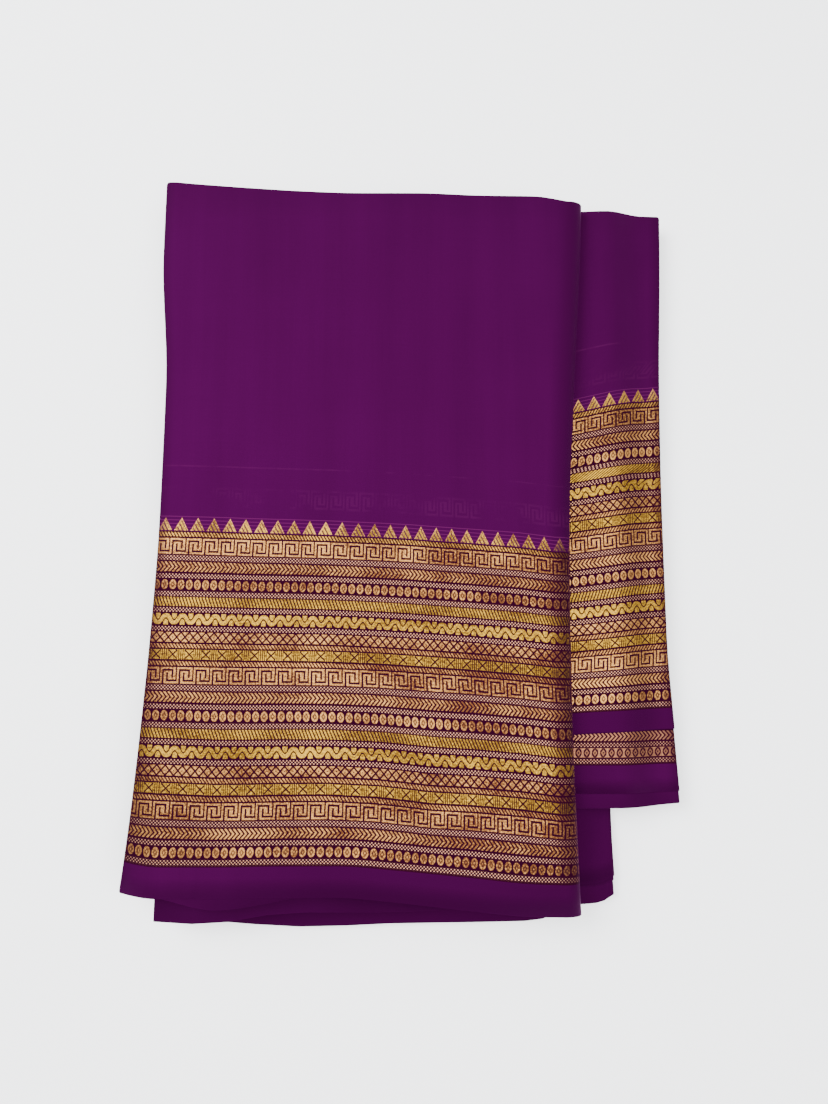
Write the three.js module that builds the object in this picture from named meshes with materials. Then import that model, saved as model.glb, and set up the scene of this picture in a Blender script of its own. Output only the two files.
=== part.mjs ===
// A folded silk sari, lying flat. Millimetres, +Z up, +X to the right, +Y away from the woven border.
//
// The sari is one woven length. Its width is folded in four, which makes a pack of four plies, and the
// pack is folded back and forth over itself along the length. Five panels of the pack are built, from
// the one with the border on top down to the one that lies on the table. Every ply stands for several
// plies of the thin silk, so the height is the real one and the layers can still be told apart.
import * as THREE from 'three';

// The cloth
const SHEET = 1.0; // thickness of a ply
const STEP = 1.45; // from one ply to the next
const PLIES = 4; // in the width
const PACK = PLIES * STEP; // from one panel to the next
const REACH = 1.5 * STEP; // middle of the pack to its outer plies
const NEAR = 0.5 * STEP; // middle of the pack to its inner plies

// The lines that bound the panels on the left and the right, at the lengths where all plies are cut.
// The face ends at its turned edge on the left. The folds one to four then lead down from panel to
// panel, right and left in turn, and the flap ends on the right under the second wide panel.
const SIDES = [
  { y: 192, face: -128.0, one: 95.8, two: -124.8, three: 140.8, four: -121.6, flap: 104.2 },
  { y: 150, face: -128.2, one: 93.9, two: -124.1, three: 139.6, four: -121.8, flap: 104.4 },
  { y: 80, face: -124.2, one: 89.2, two: -122.2, three: 136.8, four: -120.6, flap: 104.8 },
  { y: 10, face: -124.8, one: 85.0, two: -121.8, three: 135.8, four: -120.2, flap: 104.6 },
  { y: -50, face: -127.3, one: 84.0, two: -122.6, three: 135.9, four: -121.0, flap: 104.9 },
  { y: -95, face: -130.4, one: 84.0, two: -123.3, three: 138.0, four: -122.0, flap: 105.1 },
  { y: -145, face: -135.2, one: 84.3, two: -123.8, three: 140.6, four: -122.6, flap: 105.5 },
  { y: -195, face: -141.2, one: 85.2, two: -124.2, three: 141.6, four: -123.0, flap: 107.6 },
];
const CUT_LENGTHS = SIDES.slice(1, 6).map((row) => row.y).reverse();
const LOW_LENGTHS = [-148, -122];
const LONG_PLY = (end) => [end, ...LOW_LENGTHS]; // cuts below the lowest of them
const SHORT_PLY = (end) => [end, end + 0.3 * (CUT_LENGTHS[0] - end), end + 0.65 * (CUT_LENGTHS[0] - end)];

// One row for each place across a panel, from its left side at 0 to its right side at 1. The columns
// are the y of the top fold, of the free selvedge on the outer ply, of the free selvedge on the ply
// next to it, and of the fold that closes the two plies at the back.
const FACE_ENDS = [
  { at: 0.0, top: 191.1, outer: -173.5, inner: -172.0, back: -168.0 },
  { at: 0.08, top: 189.5, outer: -175.1, inner: -174.6, back: -169.0 },
  { at: 0.22, top: 187.2, outer: -175.0, inner: -180.4, back: -169.5 },
  { at: 0.34, top: 185.6, outer: -174.5, inner: -177.0, back: -169.5 },
  { at: 0.48, top: 184.6, outer: -174.5, inner: -171.0, back: -169.5 },
  { at: 0.62, top: 184.6, outer: -176.8, inner: -173.0, back: -171.0 },
  { at: 0.78, top: 183.3, outer: -180.6, inner: -176.0, back: -173.0 },
  { at: 0.92, top: 182.8, outer: -184.4, inner: -179.0, back: -175.0 },
  { at: 1.0, top: 180.4, outer: -185.4, inner: -180.0, back: -176.0 },
];

const SECOND_ENDS = [
  { at: 0.0, top: 182.5, outer: -180.0, inner: -188.9, back: -177.0 },
  { at: 0.08, top: 183.2, outer: -181.0, inner: -190.0, back: -178.0 },
  { at: 0.18, top: 183.2, outer: -181.0, inner: -189.0, back: -178.0 },
  { at: 0.33, top: 182.6, outer: -180.0, inner: -184.6, back: -177.0 },
  { at: 0.55, top: 182.4, outer: -179.0, inner: -184.6, back: -176.0 },
  { at: 0.78, top: 181.6, outer: -180.0, inner: -182.6, back: -176.0 },
  { at: 1.0, top: 180.4, outer: -185.4, inner: -180.0, back: -176.0 },
];

const THIRD_ENDS = [
  { at: 0.0, top: 182.5, outer: -180.0, inner: -188.4, back: -177.0 },
  { at: 0.25, top: 182.4, outer: -170.0, inner: -179.0, back: -172.0 },
  { at: 0.48, top: 181.6, outer: -140.0, inner: -154.0, back: -158.0 },
  { at: 0.66, top: 181.0, outer: -113.0, inner: -135.5, back: -142.0 },
  { at: 0.79, top: 180.4, outer: -99.8, inner: -128.3, back: -135.6 },
  { at: 0.92, top: 181.4, outer: -98.0, inner: -128.3, back: -135.4 },
  { at: 1.0, top: 181.0, outer: -97.2, inner: -128.1, back: -134.0 },
];

const FOURTH_ENDS = [
  { at: 0.0, top: 182.0, outer: -182.0, inner: -184.0, back: -189.6 },
  { at: 0.25, top: 181.8, outer: -168.0, inner: -172.0, back: -179.0 },
  { at: 0.48, top: 181.2, outer: -142.0, inner: -152.0, back: -158.0 },
  { at: 0.66, top: 180.8, outer: -116.0, inner: -134.0, back: -141.0 },
  { at: 0.79, top: 180.0, outer: -102.0, inner: -127.0, back: -134.6 },
  { at: 1.0, top: 181.0, outer: -97.2, inner: -128.1, back: -134.0 },
];

const FLAP_ENDS = [
  { at: 0.0, top: 182.0, outer: -182.0, inner: -184.0, back: -189.6 },
  { at: 0.15, top: 181.8, outer: -184.0, inner: -186.0, back: -193.6 },
  { at: 0.34, top: 181.6, outer: -185.0, inner: -187.0, back: -195.6 },
  { at: 0.46, top: 181.6, outer: -184.0, inner: -186.0, back: -194.2 },
  { at: 0.82, top: 180.8, outer: -182.0, inner: -184.0, back: -192.6 },
  { at: 0.91, top: 180.4, outer: -175.0, inner: -176.5, back: -185.2 },
  { at: 0.97, top: 180.0, outer: -174.0, inner: -175.5, back: -183.8 },
  { at: 1.0, top: 178.6, outer: -171.0, inner: -173.0, back: -180.2 },
];

// From the top down. A panel that runs to the right has its right side up, and the next one, which
// runs back to the left, lies upside down.
const TOP_CUTS = [0, 0.03, 0.1, 0.22, 0.36, 0.5, 0.64, 0.78, 0.9, 1];
const WIDE_CUTS = [0, 0.25, 0.48, 0.66, 0.8, 0.91, 0.955, 1];
const FLAP_CUTS = [0, 0.15, 0.4, 0.7, 0.88, 0.97, 1];
const PANELS = [
  { runs: 1, left: 'face', right: 'one', ends: FACE_ENDS, cuts: TOP_CUTS, low: LONG_PLY },
  { runs: -1, left: 'two', right: 'one', ends: SECOND_ENDS, cuts: TOP_CUTS, low: LONG_PLY },
  { runs: 1, left: 'two', right: 'three', ends: THIRD_ENDS, cuts: WIDE_CUTS, low: SHORT_PLY },
  { runs: -1, left: 'four', right: 'three', ends: FOURTH_ENDS, cuts: WIDE_CUTS, low: SHORT_PLY },
  { runs: 1, left: 'four', right: 'flap', ends: FLAP_ENDS, cuts: FLAP_CUTS, low: LONG_PLY },
];
const FOLD_CUTS = 5; // facets round a fold of the length

// The way round the width, from the selvedge on the outer ply to the selvedge on the inner one. A ply
// goes from one of its ends to the other, and a bend joins two plies.
const WIDTH_WAY = [
  { kind: 'ply', side: REACH, end: 'outer', up: true },
  { kind: 'bend', side: 0, radius: REACH, at: 'top', cuts: 5 },
  { kind: 'ply', side: -REACH, end: 'back', up: false },
  { kind: 'bend', side: -STEP, radius: -NEAR, at: 'back', cuts: 4 },
  { kind: 'ply', side: -NEAR, end: 'back', up: true },
  { kind: 'bend', side: 0, radius: -NEAR, at: 'top', cuts: 4 },
  { kind: 'ply', side: NEAR, end: 'inner', up: false },
];
const PLY_PLACES = 3 + CUT_LENGTHS.length + 1;

const MIDDLE = { x: -0.686, y: 1.966 }; // brings the middle of the outline to the origin

// How the stack settles
const FLOOR_LEVEL = REACH + SHEET / 2; // middle of the lowest pack
const UPPER_FROM = 3 * PACK + SHEET / 2; // lowest ply of the two panels on top
const SINK = { from: 108, to: 131, by: PACK }; // the wide panels come down past the flap
const SAG = { margin: 4, slope: 0.16, from: 10, to: 84 }; // the unsupported lower right corner
const DROOP = { from: -126, to: -142, by: 3.5 }; // the overhang at the lower left
const SHOULDER = { over: 30, by: 0.09 }; // the top rounds off towards its right fold
const WAVES = [
  { x: -66, y: -128, wide: 26, long: 60, by: 0.05 },
  { x: -12, y: -96, wide: 14, long: 90, by: -0.06 },
  { x: 22, y: -60, wide: 30, long: 120, by: 0.05 },
  { x: -90, y: 60, wide: 34, long: 90, by: 0.04 },
  { x: 40, y: 110, wide: 40, long: 70, by: -0.04 },
];

const ease = (f) => {
  const c = Math.min(1, Math.max(0, f));
  return c * c * (3 - 2 * c);
};

// Reads one column of a table at a place between its rows.
function read(table, key, place, column) {
  const down = table[0][key] > table[table.length - 1][key];
  const rows = down ? [...table].reverse() : table;
  if (place <= rows[0][key]) return rows[0][column];
  for (let i = 1; i < rows.length; i += 1) {
    if (place <= rows[i][key]) {
      const f = (place - rows[i - 1][key]) / (rows[i][key] - rows[i - 1][key]);
      return rows[i - 1][column] + f * (rows[i][column] - rows[i - 1][column]);
    }
  }
  return rows[rows.length - 1][column];
}

// The lower edge of the two wide panels, below which the panels on top hang free
function supportEdge(x) {
  const f = (x - -123.9) / (140.4 - -123.9);
  return read(THIRD_ENDS, 'at', f, 'back');
}

// Moves a height from the even stack to the settled one.
function settle(x, y, z, panel) {
  if (panel > 3) return z;
  if (panel > 1) return z - SINK.by * ease((x - SINK.from) / (SINK.to - SINK.from));
  let swell = 1;
  for (const w of WAVES) {
    swell += w.by * Math.exp(-(((x - w.x) / w.wide) ** 2) - ((y - w.y) / w.long) ** 2);
  }
  const side = read(SIDES, 'y', y, 'one');
  swell -= SHOULDER.by * ease((x - side + SHOULDER.over) / SHOULDER.over);
  let height = UPPER_FROM + (z - UPPER_FROM) * swell;
  const free = Math.max(0, Math.max(LOW_LENGTHS[0], supportEdge(x) - SAG.margin) - y);
  height -= SAG.slope * free * ease((x - SAG.from) / (SAG.to - SAG.from));
  if (panel > 0) return height;
  return height - DROOP.by * ease((x - DROOP.from) / (DROOP.to - DROOP.from)) * ease((-60 - y) / 90);
}

// A place on the middle surface. The panel, the fraction across it, the place round the width.
function place(panel, across, way, step) {
  const p = PANELS[panel];
  const top = read(p.ends, 'at', across, 'top') - REACH - SHEET / 2;
  const back = read(p.ends, 'at', across, 'back') + NEAR + SHEET / 2;
  let y;
  let side = way.side;
  if (way.kind === 'ply') {
    const end = way.end === 'back' ? back : read(p.ends, 'at', across, way.end);
    const lengths = [...p.low(end), ...CUT_LENGTHS, top];
    y = lengths[way.up ? step : PLY_PLACES - 1 - step];
  } else {
    const turn = (Math.PI * step) / way.cuts;
    const bulge = Math.abs(way.radius) * Math.sin(turn);
    y = way.at === 'top' ? top + bulge : back - bulge;
    side = way.side + way.radius * Math.cos(turn);
  }
  const bend = PACK / 2 + REACH + SHEET / 2; // keeps a fold inside the outline
  const left = read(SIDES, 'y', y, p.left) + (p.left === 'face' ? 0 : bend);
  const right = read(SIDES, 'y', y, p.right) - (p.right === 'flap' ? 0 : bend);
  const x = left + across * (right - left);
  const level = FLOOR_LEVEL + (PANELS.length - 1 - panel) * PACK;
  const z = settle(x, y, level + p.runs * side, panel);
  return new THREE.Vector3(x, y, z);
}

// All the places round the width in order
const ROUND = [];
for (const way of WIDTH_WAY) {
  const first = way.kind === 'ply' ? 0 : 1;
  const end = way.kind === 'ply' ? PLY_PLACES - 1 : way.cuts - 1;
  for (let step = first; step <= end; step += 1) ROUND.push({ way, step });
}

// The columns of the middle surface along the length, panel by panel with the folds between them
const columns = [];
PANELS.forEach((p, panel) => {
  const cuts = p.runs > 0 ? p.cuts : [...p.cuts].reverse();
  for (const across of cuts) {
    columns.push(ROUND.map(({ way, step }) => place(panel, across, way, step)));
  }
  if (panel === PANELS.length - 1) return;
  const endsAt = p.runs > 0 ? 1 : 0;
  const upper = ROUND.map(({ way, step }) => place(panel, endsAt, way, step));
  const lower = ROUND.map(({ way, step }) => place(panel + 1, endsAt, way, step));
  for (let k = 1; k < FOLD_CUTS; k += 1) {
    const turn = (Math.PI * k) / FOLD_CUTS;
    columns.push(upper.map((u, i) => {
      const l = lower[i];
      const radius = (u.z - l.z) / 2;
      const half = (1 - Math.cos(turn)) / 2;
      return new THREE.Vector3(
        u.x + half * (l.x - u.x) + p.runs * radius * Math.sin(turn),
        u.y + half * (l.y - u.y),
        (u.z + l.z) / 2 + radius * Math.cos(turn),
      );
    }));
  }
});

// Gives the middle surface its thickness and closes it round its edges.
function thicken(grid, thickness) {
  const across = grid.length;
  const round = grid[0].length;
  const positions = [];
  const index = [];
  const at = (face, i, j) => face * across * round + i * round + j;
  for (const face of [0, 1]) {
    for (let i = 0; i < across; i += 1) {
      for (let j = 0; j < round; j += 1) {
        const before = grid[Math.max(0, i - 1)][j];
        const after = grid[Math.min(across - 1, i + 1)][j];
        const under = grid[i][Math.max(0, j - 1)];
        const over = grid[i][Math.min(round - 1, j + 1)];
        const lengthways = after.clone().sub(before);
        const widthways = over.clone().sub(under);
        const normal = lengthways.cross(widthways).normalize();
        const shift = (face === 0 ? 0.5 : -0.5) * thickness;
        const v = grid[i][j].clone().addScaledVector(normal, shift);
        positions.push(v.x, v.y, v.z);
      }
    }
  }
  for (let i = 0; i < across - 1; i += 1) {
    for (let j = 0; j < round - 1; j += 1) {
      // Plies that lie on each other are cut along the same diagonal.
      const diagonal = grid[i + 1][j + 1].clone().sub(grid[i][j]);
      const corners = [[i, j], [i + 1, j], [i + 1, j + 1], [i, j + 1]];
      if (diagonal.x * diagonal.y < 0) corners.push(corners.shift());
      const [a, b, c, d] = corners;
      index.push(at(0, ...a), at(0, ...b), at(0, ...c), at(0, ...a), at(0, ...c), at(0, ...d));
      index.push(at(1, ...a), at(1, ...c), at(1, ...b), at(1, ...a), at(1, ...d), at(1, ...c));
    }
  }
  const rim = [];
  for (let i = 0; i < across - 1; i += 1) rim.push([i, 0]);
  for (let j = 0; j < round - 1; j += 1) rim.push([across - 1, j]);
  for (let i = across - 1; i > 0; i -= 1) rim.push([i, round - 1]);
  for (let j = round - 1; j > 0; j -= 1) rim.push([0, j]);
  rim.forEach(([i, j], k) => {
    const [m, n] = rim[(k + 1) % rim.length];
    index.push(at(0, i, j), at(1, i, j), at(1, m, n));
    index.push(at(0, i, j), at(1, m, n), at(0, m, n));
  });
  const geometry = new THREE.BufferGeometry();
  geometry.setAttribute('position', new THREE.Float32BufferAttribute(positions, 3));
  geometry.setIndex(index);
  geometry.computeVertexNormals();
  return geometry;
}

const silk = new THREE.MeshStandardMaterial({ color: 0x560c55, roughness: 0.55, metalness: 0 });
const sari = new THREE.Mesh(thicken(columns, SHEET).translate(MIDDLE.x, MIDDLE.y, 0), silk);
sari.name = 'sari';

const part = new THREE.Group();
part.name = 'folded_sari';
part.add(sari);
export default part;
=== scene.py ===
"""A folded silk sari with a wide border of gold thread, lying flat.

Lengths in the tables are in millimetres, +Z up, +X to the right, +Y away from the border. The cloth
is one thin woven sheet. Its width is folded in four, and the pack of four plies is folded back and
forth along the length, twenty panels in all.
"""

import math

import bmesh
import bpy
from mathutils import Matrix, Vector


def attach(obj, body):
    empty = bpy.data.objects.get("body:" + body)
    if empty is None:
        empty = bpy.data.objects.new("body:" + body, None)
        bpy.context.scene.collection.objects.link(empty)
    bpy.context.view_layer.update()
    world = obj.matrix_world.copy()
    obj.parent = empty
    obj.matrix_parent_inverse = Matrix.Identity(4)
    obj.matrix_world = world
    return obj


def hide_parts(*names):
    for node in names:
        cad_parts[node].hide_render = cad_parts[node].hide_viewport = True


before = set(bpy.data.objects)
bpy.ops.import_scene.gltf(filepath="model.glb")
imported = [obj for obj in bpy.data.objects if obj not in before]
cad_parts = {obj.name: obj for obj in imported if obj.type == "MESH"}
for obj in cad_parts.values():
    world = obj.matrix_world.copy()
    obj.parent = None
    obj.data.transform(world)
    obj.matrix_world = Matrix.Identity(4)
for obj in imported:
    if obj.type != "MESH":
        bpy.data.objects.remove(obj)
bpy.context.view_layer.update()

MM = 0.001

# The cloth
SILK = 0.16  # thickness
PLY = 0.3625  # from one ply to the next
PACK = 4 * PLY  # from one panel to the next
OUTER = 1.5 * PLY  # middle of a pack to its outer plies
NEAR = 0.5 * PLY  # middle of a pack to its inner plies

MIDDLE = (-0.686, 1.966)  # brings the middle of the outline to the origin

# The lines that bound the panels on the left and the right
SIDES = [
    {"y": 192, "face": -128.0, "one": 95.8, "two": -124.8, "three": 140.8, "four": -121.6, "flap": 104.2},
    {"y": 150, "face": -128.2, "one": 93.9, "two": -124.1, "three": 139.6, "four": -121.8, "flap": 104.4},
    {"y": 80, "face": -124.2, "one": 89.2, "two": -122.2, "three": 136.8, "four": -120.6, "flap": 104.8},
    {"y": 10, "face": -124.8, "one": 85.0, "two": -121.8, "three": 135.8, "four": -120.2, "flap": 104.6},
    {"y": -50, "face": -127.3, "one": 84.0, "two": -122.6, "three": 135.9, "four": -121.0, "flap": 104.9},
    {"y": -95, "face": -130.4, "one": 84.0, "two": -123.3, "three": 138.0, "four": -122.0, "flap": 105.1},
    {"y": -145, "face": -135.2, "one": 85.0, "two": -123.8, "three": 140.6, "four": -122.6, "flap": 105.5},
    {"y": -195, "face": -141.2, "one": 87.6, "two": -124.2, "three": 141.6, "four": -123.0, "flap": 107.6},
]

# One row for each place across a panel, from its left side at 0 to its right side at 1: the y of the
# top fold, of the free selvedge on the outer ply, of the free selvedge on the ply next to it, and of
# the fold that closes the two plies at the back.
FACE_ENDS = [
    {"at": 0.0, "top": 191.1, "outer": -173.5, "inner": -172.0, "back": -168.0},
    {"at": 0.08, "top": 189.5, "outer": -175.1, "inner": -174.6, "back": -169.0},
    {"at": 0.22, "top": 187.2, "outer": -175.0, "inner": -180.4, "back": -169.5},
    {"at": 0.34, "top": 185.6, "outer": -174.5, "inner": -177.0, "back": -169.5},
    {"at": 0.48, "top": 184.6, "outer": -174.5, "inner": -171.0, "back": -169.5},
    {"at": 0.62, "top": 184.6, "outer": -176.8, "inner": -173.0, "back": -171.0},
    {"at": 0.78, "top": 183.3, "outer": -180.6, "inner": -176.0, "back": -173.0},
    {"at": 0.92, "top": 182.8, "outer": -184.4, "inner": -179.0, "back": -175.0},
    {"at": 1.0, "top": 180.4, "outer": -185.4, "inner": -180.0, "back": -176.0},
]
SECOND_ENDS = [
    {"at": 0.0, "top": 182.5, "outer": -180.0, "inner": -188.9, "back": -177.0},
    {"at": 0.08, "top": 183.2, "outer": -181.0, "inner": -190.0, "back": -178.0},
    {"at": 0.18, "top": 183.2, "outer": -181.0, "inner": -189.0, "back": -178.0},
    {"at": 0.33, "top": 182.6, "outer": -180.0, "inner": -184.6, "back": -177.0},
    {"at": 0.55, "top": 182.4, "outer": -179.0, "inner": -184.6, "back": -176.0},
    {"at": 0.78, "top": 181.6, "outer": -180.0, "inner": -182.6, "back": -176.0},
    {"at": 1.0, "top": 180.4, "outer": -185.4, "inner": -180.0, "back": -176.0},
]
THIRD_ENDS = [
    {"at": 0.0, "top": 182.5, "outer": -180.0, "inner": -188.4, "back": -177.0},
    {"at": 0.25, "top": 182.4, "outer": -170.0, "inner": -179.0, "back": -172.0},
    {"at": 0.48, "top": 181.6, "outer": -140.0, "inner": -154.0, "back": -158.0},
    {"at": 0.66, "top": 181.0, "outer": -113.0, "inner": -135.5, "back": -142.0},
    {"at": 0.79, "top": 180.4, "outer": -99.8, "inner": -128.3, "back": -135.6},
    {"at": 0.92, "top": 181.4, "outer": -98.0, "inner": -128.3, "back": -135.4},
    {"at": 1.0, "top": 181.0, "outer": -97.2, "inner": -128.1, "back": -134.0},
]
FOURTH_ENDS = [
    {"at": 0.0, "top": 182.0, "outer": -182.0, "inner": -184.0, "back": -189.6},
    {"at": 0.25, "top": 181.8, "outer": -168.0, "inner": -172.0, "back": -179.0},
    {"at": 0.48, "top": 181.2, "outer": -142.0, "inner": -152.0, "back": -158.0},
    {"at": 0.66, "top": 180.8, "outer": -116.0, "inner": -134.0, "back": -141.0},
    {"at": 0.79, "top": 180.0, "outer": -102.0, "inner": -127.0, "back": -134.6},
    {"at": 1.0, "top": 181.0, "outer": -97.2, "inner": -128.1, "back": -134.0},
]
FLAP_ENDS = [
    {"at": 0.0, "top": 182.0, "outer": -182.0, "inner": -184.0, "back": -189.6},
    {"at": 0.15, "top": 181.8, "outer": -184.0, "inner": -186.0, "back": -193.6},
    {"at": 0.34, "top": 181.6, "outer": -185.0, "inner": -187.0, "back": -195.6},
    {"at": 0.46, "top": 181.6, "outer": -184.0, "inner": -186.0, "back": -194.2},
    {"at": 0.82, "top": 180.8, "outer": -182.0, "inner": -184.0, "back": -192.6},
    {"at": 0.91, "top": 180.4, "outer": -175.0, "inner": -176.5, "back": -185.2},
    {"at": 0.97, "top": 180.0, "outer": -174.0, "inner": -175.5, "back": -183.8},
    {"at": 1.0, "top": 178.6, "outer": -171.0, "inner": -173.0, "back": -180.2},
]

# How the stack settles
PANELS_IN_ALL = 20
UPPER_PANELS = 8  # levels 0 to 7 make the narrow block on top
WIDE_PANELS = 8  # levels 8 to 15 make the wide block under it
FLOOR_LEVEL = OUTER + SILK / 2 + 0.02  # middle of the lowest pack
UPPER_FROM = FLOOR_LEVEL + (PANELS_IN_ALL - UPPER_PANELS) * PACK - OUTER  # lowest ply of the upper block
UPPER_HEIGHT = (UPPER_PANELS - 1) * PACK + 2 * OUTER
SINK = {"from": 108, "to": 131, "by": (PANELS_IN_ALL - UPPER_PANELS - WIDE_PANELS) * PACK}
SAG = {"margin": 4, "slope": 0.16, "from": 10, "to": 84, "reach": 26}
DROOP = {"from": -120, "to": -142, "by": 3.5, "below": -60, "over": 90}
ROLLED_EDGE = {"wide": 6, "by": 0.9}  # the left fold of the top panel curls down
SHOULDER = {"over": 30, "by": 0.09}
WIDE_BLOCK = {"left": -123.9, "right": 140.4}
LOOSE = 1.35  # a fold stands out this much further than it is high
ROLL = 1.6  # the same for the big fold that closes the upper block

# Soft ridges and troughs in the upper block, as parts of its height
WAVES = [
    {"x": -66, "y": -128, "wide": 26, "long": 60, "by": 0.05},
    {"x": -12, "y": -96, "wide": 14, "long": 90, "by": -0.06},
    {"x": 22, "y": -60, "wide": 30, "long": 120, "by": 0.05},
    {"x": -90, "y": 60, "wide": 34, "long": 90, "by": 0.04},
    {"x": 40, "y": 110, "wide": 40, "long": 70, "by": -0.04},
]

# From the top down. A panel that runs to the right has its right side up. The insets bring a fold or
# an end in from its line, and tuck shortens the pack at both ends.
LEVELS = [
    {"left": "face", "left_in": 0.0, "right": "one", "right_in": 0.0, "ends": FACE_ENDS, "tuck": 0.0},
    {"left": "face", "left_in": 0.3, "right": "one", "right_in": 9.6, "ends": FACE_ENDS, "tuck": 3.2},
    {"left": "two", "left_in": 1.4, "right": "one", "right_in": 9.6, "ends": FACE_ENDS, "tuck": 4.4},
    {"left": "two", "left_in": 1.4, "right": "one", "right_in": 7.4, "ends": FACE_ENDS, "tuck": 3.8},
    {"left": "two", "left_in": -0.6, "right": "one", "right_in": 7.4, "ends": FACE_ENDS, "tuck": 5.0},
    {"left": "two", "left_in": -0.6, "right": "one", "right_in": 10.2, "ends": FACE_ENDS, "tuck": 4.2},
    {"left": "two", "left_in": 6.0, "right": "one", "right_in": 10.2, "ends": FACE_ENDS, "tuck": 5.6},
    {"left": "two", "left_in": 0.0, "right": "one", "right_in": 0.0, "ends": SECOND_ENDS, "tuck": 0.0},
    {"left": "two", "left_in": 0.0, "right": "three", "right_in": 0.0, "ends": THIRD_ENDS, "tuck": 0.0},
    {"left": "four", "left_in": 0.8, "right": "three", "right_in": 0.0, "ends": FOURTH_ENDS, "tuck": 1.6},
    {"left": "four", "left_in": 0.8, "right": "three", "right_in": 1.2, "ends": THIRD_ENDS, "tuck": 2.4},
    {"left": "four", "left_in": -0.7, "right": "three", "right_in": 1.2, "ends": FOURTH_ENDS, "tuck": 1.2},
    {"left": "four", "left_in": -0.7, "right": "three", "right_in": 0.4, "ends": THIRD_ENDS, "tuck": 2.9},
    {"left": "four", "left_in": 1.5, "right": "three", "right_in": 0.4, "ends": FOURTH_ENDS, "tuck": 1.8},
    {"left": "four", "left_in": 1.5, "right": "three", "right_in": 1.7, "ends": THIRD_ENDS, "tuck": 2.2},
    {"left": "four", "left_in": 0.0, "right": "three", "right_in": 1.7, "ends": FOURTH_ENDS, "tuck": 0.6},
    {"left": "four", "left_in": 0.0, "right": "flap", "right_in": 0.0, "ends": FLAP_ENDS, "tuck": 0.0},
    {"left": "four", "left_in": 1.1, "right": "flap", "right_in": 0.0, "ends": FLAP_ENDS, "tuck": 1.4},
    {"left": "four", "left_in": 1.1, "right": "flap", "right_in": 1.0, "ends": FLAP_ENDS, "tuck": 2.0},
    {"left": "four", "left_in": 3.0, "right": "flap", "right_in": 1.0, "ends": FLAP_ENDS, "tuck": 1.0},
]
# The cloth starts inside the upper block, comes up to the top panel, wraps round and goes down.
ALONG = [*range(UPPER_PANELS - 2, -1, -1), *range(UPPER_PANELS - 1, PANELS_IN_ALL)]

# The woven border, measured from the selvedge, and its repeat along the cloth
UNIT = 8.1
GROUP = 64.0
BORDER_END, FIRST, TIPS = 15.0, 172.5, 183.2
COLUMNS_END = FIRST + 20  # the columns run straight on past this
SECOND, THIRD = FIRST - GROUP, FIRST - 2 * GROUP

# Where the repeats lie on the two panels that show, as the x of a repeat in the three key rows, and
# how these rows run, as their y at places from left to right.
FACE_WEAVE = [
    {"unit": 0, "first": -118.0, "second": -120.6, "third": -121.6},
    {"unit": 3, "first": -93.4, "second": -96.0, "third": -96.5},
    {"unit": 6, "first": -69.5, "second": -71.9, "third": -71.7},
    {"unit": 8, "first": -53.0, "second": -55.4, "third": -54.6},
    {"unit": 9, "first": -45.3, "second": -47.4, "third": -46.6},
    {"unit": 10, "first": -37.0, "second": -39.0, "third": -37.9},
    {"unit": 13, "first": -12.3, "second": -14.1, "third": -12.3},
    {"unit": 16, "first": 10.9, "second": 9.5, "third": 11.6},
    {"unit": 20, "first": 41.9, "second": 40.9, "third": 44.0},
    {"unit": 24, "first": 73.2, "second": 72.9, "third": 76.7},
]
FACE_ROWS = [
    {"x": -118, "first": -1.0, "second": -65.3, "third": -129.8},
    {"x": -93, "first": -1.7, "second": -65.8, "third": -130.9},
    {"x": -77, "first": -2.3, "second": -66.0, "third": -130.7},
    {"x": -62, "first": -2.7, "second": -66.1, "third": -130.3},
    {"x": -38, "first": -3.4, "second": -66.4, "third": -130.2},
    {"x": -13, "first": -4.5, "second": -67.4, "third": -131.5},
    {"x": 3, "first": -5.4, "second": -68.4, "third": -133.2},
    {"x": 11, "first": -6.1, "second": -68.9, "third": -134.3},
    {"x": 34, "first": -7.7, "second": -70.5, "third": -135.4},
    {"x": 57, "first": -9.4, "second": -72.5, "third": -137.3},
    {"x": 73, "first": -11.3, "second": -74.3, "third": -139.5},
]
WIDE_WEAVE = [
    {"unit": 0, "first": 96.1, "second": 94.0, "third": 96.2},
    {"unit": 3, "first": 121.0, "second": 118.8, "third": 121.1},
]
WIDE_ROWS = [
    {"x": 86, "first": 62.8, "second": 0.0, "third": -61.4},
    {"x": 104, "first": 66.9, "second": 2.5, "third": -59.8},
    {"x": 121, "first": 70.6, "second": 5.3, "third": -57.9},
    {"x": 135, "first": 72.2, "second": 6.5, "third": -56.9},
]
ROWS_REACH = {"left": 8, "right": 4}  # the rows keep their slope this far past the tables
# The plain strip along the selvedge, as it shows on a panel: how wide it looks, how much more it shows
# towards the right, and how far from the selvedge its edge is taken to be.
FACE_STRIP = {"seen": 15.0, "more": 1.5, "from": 0.0}
WIDE_STRIP = {"seen": 11.3, "more": 0.0, "from": 4.0}
STRIP_WIDENS = {"from": -30, "over": 90}
# The same for the inner ply, where the rows lie closer by this factor and are shifted by the slip
INNER_STRIP = {"seen": 14.3, "shrunk": 1.1, "slip": 2.35}
BOTTOM_LEAN = {"far": 20.0, "by": -1.3}  # the columns lean outward below the last key row
HIDDEN_REPEATS = 30  # taken up under the upper block, where the border turns round
PLAIN_FROM = UPPER_PANELS + WIDE_PANELS  # the last stretch of the cloth has no border, from this level


def evenly(start, stop, steps):
    """The places that part a stretch into equal steps, with both its ends."""
    return [start + (stop - start) * k / steps for k in range(steps + 1)]


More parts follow.
